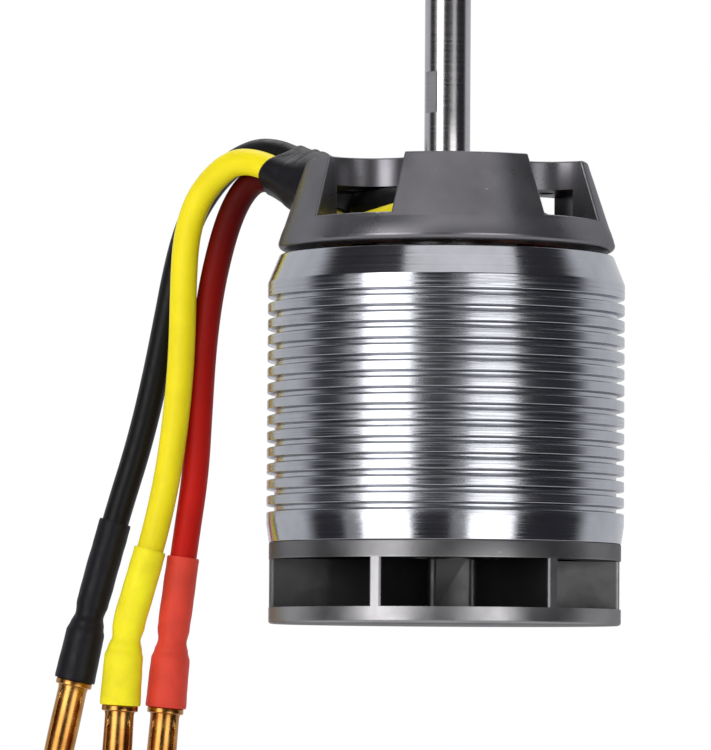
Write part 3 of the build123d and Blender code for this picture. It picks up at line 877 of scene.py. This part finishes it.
# ---- rotor can -----------------------------------------------------------------------------------
GROOVE_DEPTH = 1.0
GROOVE_TOP_HALF = 0.42
GROOVE_BOTTOM_HALF = 0.3
can_outline = [
    (CAN_BORE_R, CAN_TOP_Z, 0.15),
    (CAN_RIM_R - 0.1, CAN_TOP_Z, 0.28),
    (CAN_R, CAN_SHOULDER_Z, 0.5),
]
for number in range(GROOVES):
    z = GROOVE_TOP_Z - number * GROOVE_PITCH
    can_outline += [
        (CAN_R, z + GROOVE_TOP_HALF, 0.16),
        (CAN_R - GROOVE_DEPTH, z + GROOVE_BOTTOM_HALF, 0.14),
        (CAN_R - GROOVE_DEPTH, z - GROOVE_BOTTOM_HALF, 0.14),
        (CAN_R, z - GROOVE_TOP_HALF, 0.16),
    ]
can_outline += [
    (CAN_R, CAN_FOOT_Z, 0.6),
    (CAN_BASE_R, CAN_BASE_Z, 0.12),
    (CAN_BORE_R, CAN_BASE_Z, 0.1),
]
can = lathe("ribbed_can", rounded(can_outline, 3), 288)
weigh_normals(piece("ribbed_can", can, "rotor", "polished_steel", "rotor_can"))


# ---- fan bell ------------------------------------------------------------------------------------
BLADE_ROOT_R = 1.2
BLADE_EDGE = 0.22
ROOT_POINTS = 8
WINDOW_REACH = 28.0  # past the bell's edge


def prism(name, outline, low, high):
    """An outline of (x, y, z=0) points in millimetres, drawn from one height to another."""
    rings = [[Vector((p.x, p.y, z)) for p in outline] for z in (low, high)]
    return loft(name, rings)


def fan_window(angle):
    """The outline of the space between two blades, with round roots and broken tip edges."""
    outline = []
    for turn, side in ((angle, 1), (angle + 360 / BLADES, -1)):
        out = Vector((cos(radians(turn)), sin(radians(turn)), 0))
        across = Vector((-out.y, out.x, 0)) * side
        offset = BLADE_HALF + BLADE_ROOT_R
        centre = out * sqrt((BELL_HUB_R + BLADE_ROOT_R) ** 2 - offset**2) + across * offset
        half = [
            out * WINDOW_REACH + across * (BLADE_HALF - BLADE_EDGE),
            out * (BELL_R + 0.01) + across * (BLADE_HALF - BLADE_EDGE),
            out * (BELL_R - BLADE_EDGE) + across * BLADE_HALF,
        ]
        first, last = -across, -centre.normalized()
        for k in range(ROOT_POINTS + 1):
            half.append(centre + first.slerp(last, k / ROOT_POINTS) * BLADE_ROOT_R)
        outline += half if side == 1 else half[::-1]
    return outline


def bell_mesh():
    """The turned bell with its windows and the grub screws' holes cut out."""
    body = lathe(
        "bell",
        rounded(
            [
                (SHAFT_R, BELL_HUB_Z, 0),
                (BELL_HUB_R, BELL_HUB_Z, 0.4),
                (BELL_HUB_R, BELL_RING_BASE_Z, 0),
                (BELL_RING_BORE_R, BELL_RING_BASE_Z, 0.3),
                (BELL_RING_BORE_R, CAN_BASE_Z, 0),
                (SPIGOT_R, SPIGOT_TOP_Z, 0),
                (CAN_BORE_R, SPIGOT_TOP_Z, 0),
                (CAN_BORE_R, CAN_BASE_Z, 0),
                (BELL_R, CAN_BASE_Z, 0.2),
                (BELL_R, BELL_BASE_Z, 0.4),
                (0.01, BELL_BASE_Z, 0),
                (0.01, SHAFT_END_Z, 0),
                (SHAFT_R, SHAFT_END_Z, 0),
            ]
        ),
        240,
    )
    cutters = bmesh.new()
    for k in range(BLADES):
        outline = fan_window(BLADE_ANGLE + 360 / BLADES * k)
        cutters.from_mesh(prism("window", outline, BELL_PLATE_Z, BELL_RING_BASE_Z))
    drilled = Matrix.Translation((0, 0, GRUB_Z * MM)) @ Matrix.Rotation(
        radians(BLADE_ANGLE + 30), 4, "Z"
    )
    bmesh.ops.create_cone(
        cutters,
        cap_ends=True,
        segments=48,
        radius1=GRUB_R * MM,
        radius2=GRUB_R * MM,
        depth=2 * (BELL_HUB_R + 1) * MM,
        matrix=drilled @ Matrix.Rotation(radians(90), 4, "Y"),
    )
    tools = bpy.data.meshes.new("bell_cutters")
    cutters.to_mesh(tools)
    cutters.free()
    whole = bpy.data.objects.new("bell_whole", body)
    knife = bpy.data.objects.new("bell_knife", tools)
    scene.collection.objects.link(whole)
    scene.collection.objects.link(knife)
    cut = whole.modifiers.new("cut", "BOOLEAN")
    cut.object = knife
    cut.operation = "DIFFERENCE"
    cut.solver = "EXACT"
    cut.use_self = True
    depsgraph = bpy.context.evaluated_depsgraph_get()
    data = bpy.data.meshes.new_from_object(whole.evaluated_get(depsgraph))
    bpy.data.objects.remove(whole)
    bpy.data.objects.remove(knife)
    smooth(data, 30.0)
    return data


piece("blade_fan_bell", bell_mesh(), "rotor", "bell_anodised", "fan_bell")


# ---- shaft ---------------------------------------------------------------------------------------
SHAFT_CHAMFER = 0.5
CLIP_GROOVE_TOP = -1.3
CLIP_GROOVE_BOTTOM = -1.9
CLIP_GROOVE_DEPTH = 0.3
FLAT_TOP = 11.9
FLAT_BOTTOM = 6.5
FLAT_DEPTH = 0.24
FLAT_ANGLE = -141


def shaft_mesh():
    """The ground shaft with its circlip groove and its flat."""
    outline = rounded(
        [
            (0.0, SHAFT_OUT, 0),
            (SHAFT_R - SHAFT_CHAMFER, SHAFT_OUT, 0.08),
            (SHAFT_R, SHAFT_OUT - SHAFT_CHAMFER, 0.1),
            (SHAFT_R, CLIP_GROOVE_TOP, 0.03),
            (SHAFT_R - CLIP_GROOVE_DEPTH, CLIP_GROOVE_TOP, 0.0),
            (SHAFT_R - CLIP_GROOVE_DEPTH, CLIP_GROOVE_BOTTOM, 0.0),
            (SHAFT_R, CLIP_GROOVE_BOTTOM, 0.03),
            (SHAFT_R, SHAFT_END_Z, 0.1),
            (0.0, SHAFT_END_Z, 0),
        ]
    )
    step = 0.001  # between the rings on either side of an end of the flat
    corner = next(i for i, (_, z) in enumerate(outline) if z < 0)
    outline[corner:corner] = [
        Vector((SHAFT_R, z)) for z in (FLAT_TOP + step, FLAT_TOP, FLAT_BOTTOM, FLAT_BOTTOM - step)
    ]
    data = lathe("shaft", outline, 144)
    facing = Vector((cos(radians(FLAT_ANGLE)), sin(radians(FLAT_ANGLE)), 0))
    for v in data.vertices:
        over = v.co.dot(facing) - (SHAFT_R - FLAT_DEPTH) * MM
        if over > 0 and FLAT_BOTTOM - step / 2 <= v.co.z / MM <= FLAT_TOP + step / 2:
            v.co -= facing * over
    smooth(data, 12.0)
    return data


piece("ground_shaft", shaft_mesh(), "rotor", "shaft_steel", "motor_shaft")


# ---- windings ------------------------------------------------------------------------------------
WIRE_R = 0.37
WIRE_COLUMNS = 8
COLUMN_FROM = 0.4  # outside the coil's inner end
COLUMN_PITCH = 0.8
LAYER_PITCH = 0.74
WIRE_STRAY = 0.03
TOOTH_GAP = 0.05
TURN_BEND = 0.9
TURN_BEND_STEP = 0.5  # from layer to layer


def winding_curve():
    """Turns of round wire about one tooth, in columns along the radius and layers outwards."""
    draw = random.Random(12)
    data = bpy.data.curves.new("winding", "CURVE")
    data.dimensions = "3D"
    data.bevel_depth = WIRE_R
    data.bevel_resolution = 2
    for column in range(WIRE_COLUMNS):
        r = COIL_INNER + COLUMN_FROM + COLUMN_PITCH * column
        room = r * tan(pi / SLOTS) - COIL_GAP - WIRE_R
        layer = 0
        while TOOTH_HALF + TOOTH_GAP + WIRE_R + LAYER_PITCH * layer <= room:
            half = TOOTH_HALF + TOOTH_GAP + WIRE_R + LAYER_PITCH * layer
            top = COIL_TOP_Z + WIRE_R + LAYER_PITCH * layer
            bottom = COIL_BOTTOM_Z - WIRE_R - LAYER_PITCH * layer
            bend = TURN_BEND + TURN_BEND_STEP * layer
            corners = [(half, top), (-half, top), (-half, bottom), (half, bottom)]
            loop = rounded([(*corner, bend) for corner in corners], 5)
            spline = data.splines.new("POLY")
            spline.points.add(len(loop) - 1)
            for point, (across, z) in zip(spline.points, loop):
                stray = draw.uniform(-WIRE_STRAY, WIRE_STRAY)
                point.co = ((r + stray) * MM, across * MM, z * MM, 1)
                point.radius = MM
            spline.use_cyclic_u = True
            layer += 1
    return data


winding = winding_curve()
for number in range(SLOTS):
    coil = bpy.data.objects.new(f"winding_{number + 1:02d}", winding)
    scene.collection.objects.link(coil)
    coil.rotation_euler.z = 2 * pi * number / SLOTS
    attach(coil, "stator")
    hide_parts(f"coil_{number + 1:02d}")
winding.materials.append(paints["copper_wire"].material)

# ---- materials of the CAD nodes that stay --------------------------------------------------------
for subpart in frame["record"]["subparts"]:
    node = frame["nodes"][subpart["node"]]
    node.data.materials.clear()
    node.data.materials.append(paints[subpart["material_slot"]].material)

# ---- floor, light and surroundings ---------------------------------------------------------------
FLOOR_R = 1.1  # metres, as is the next
FLOOR_DROP = 0.006  # below the pins' tips
ROOM_DARK = (0.035, 0.035, 0.042)
ROOM_CEILING = (0.04, 0.04, 0.045)
ROOM_BEHIND = (0.74, 0.75, 0.78)
ROOM_BELOW = (0.85, 0.85, 0.85)
WHITE = (1.0, 1.0, 1.0)

floor_mesh = bpy.data.meshes.new("floor")
disc = bmesh.new()
bmesh.ops.create_circle(disc, cap_ends=True, segments=128, radius=FLOOR_R)
disc.to_mesh(floor_mesh)
disc.free()
floor = bpy.data.objects.new("floor", floor_mesh)
floor.location.z = cad_box[0].z - FLOOR_DROP
floor.visible_glossy = False  # the can mirrors the room below it instead
scene.collection.objects.link(floor)
floor_paint = Paint("floor", (0.93, 0.93, 0.93), 0.0, 0.6)
floor_paint.colour(
    floor_paint.ramp(floor_paint.noise(60.0), (0.3, (0.92, 0.92, 0.92)), (0.7, (0.94, 0.94, 0.94)))
)
floor_mesh.materials.append(floor_paint.material)


def softbox(name, azimuth, elevation, distance, width, tall, radiance, height=-0.03):
    """A rectangular light that faces the point at this height on the shaft's axis, in metres.

    Azimuth is in degrees from the front, positive to the right, and elevation in degrees above
    level, both as seen from that point.
    """
    light = bpy.data.lights.new(name, "AREA")
    light.shape = "RECTANGLE"
    light.size = width
    light.size_y = tall
    light.energy = radiance * pi * width * tall  # watts
    obj = bpy.data.objects.new(name, light)
    scene.collection.objects.link(obj)
    turn = radians(azimuth)
    lift = radians(elevation)
    level = distance * cos(lift)
    aim = Vector((0, 0, height))
    place = aim + Vector((sin(turn) * level, -cos(turn) * level, distance * sin(lift)))
    obj.location = place
    obj.rotation_euler = (aim - place).to_track_quat("-Z", "Y").to_euler()
    obj.visible_camera = False
    return obj


for row in (  # name, azimuth, elevation, distance, width, tall, radiance and height
    ("key_left", -39, 0, 0.8, 0.46, 0.85, 3.2, 0.05),
    ("glow_left", -45, 0, 0.83, 0.72, 0.95, 0.35, 0.05),
    ("key_right", 29, 0, 0.8, 0.43, 0.4, 2.6, -0.167),
    ("glow_right", 24, 0, 0.83, 0.64, 0.44, 0.35, -0.16),
    ("upper_right", 33, 0, 0.83, 0.26, 0.22, 0.8, 0.195),
    ("front_hood", 11, 48, 0.8, 0.92, 0.3, 1.05),
    ("top", 175, 62, 0.9, 0.9, 0.6, 2.4),
):
    softbox(*row)
fill = softbox("front_fill", 0, 12, 0.9, 0.7, 0.5, 1.6)
fill.visible_glossy = False

world = bpy.data.worlds.new("surroundings")
scene.world = world
world.use_nodes = True
tree = world.node_tree
background = tree.nodes["Background"]
direction = tree.nodes.new("ShaderNodeTexCoord")
parts = tree.nodes.new("ShaderNodeSeparateXYZ")
tree.links.new(direction.outputs["Generated"], parts.inputs[0])


def world_ramp(socket, low, high):
    node = tree.nodes.new("ShaderNodeMapRange")
    node.interpolation_type = "SMOOTHSTEP"
    tree.links.new(socket, node.inputs["Value"])
    node.inputs["From Min"].default_value = low
    node.inputs["From Max"].default_value = high
    return node.outputs["Result"]


def world_mix(factor, one, other):
    node = tree.nodes.new("ShaderNodeMix")
    node.data_type = "RGBA"
    tree.links.new(factor, node.inputs["Factor"])
    for socket, value in (("A", one), ("B", other)):
        if isinstance(value, bpy.types.NodeSocket):
            tree.links.new(value, node.inputs[socket])
        else:
            node.inputs[socket].default_value = (*value, 1)
    return node.outputs["Result"]


behind = world_ramp(parts.outputs["Y"], 0.02, 0.3)
overhead = world_ramp(parts.outputs["Z"], 0.35, 0.75)
below = world_ramp(parts.outputs["Z"], -0.38, -0.55)
room = world_mix(overhead, ROOM_DARK, ROOM_CEILING)
room = world_mix(behind, room, ROOM_BEHIND)
room = world_mix(below, room, ROOM_BELOW)
seen = tree.nodes.new("ShaderNodeLightPath").outputs["Is Camera Ray"]
tree.links.new(world_mix(seen, room, WHITE), background.inputs["Color"])

scene.view_settings.view_transform = "Standard"
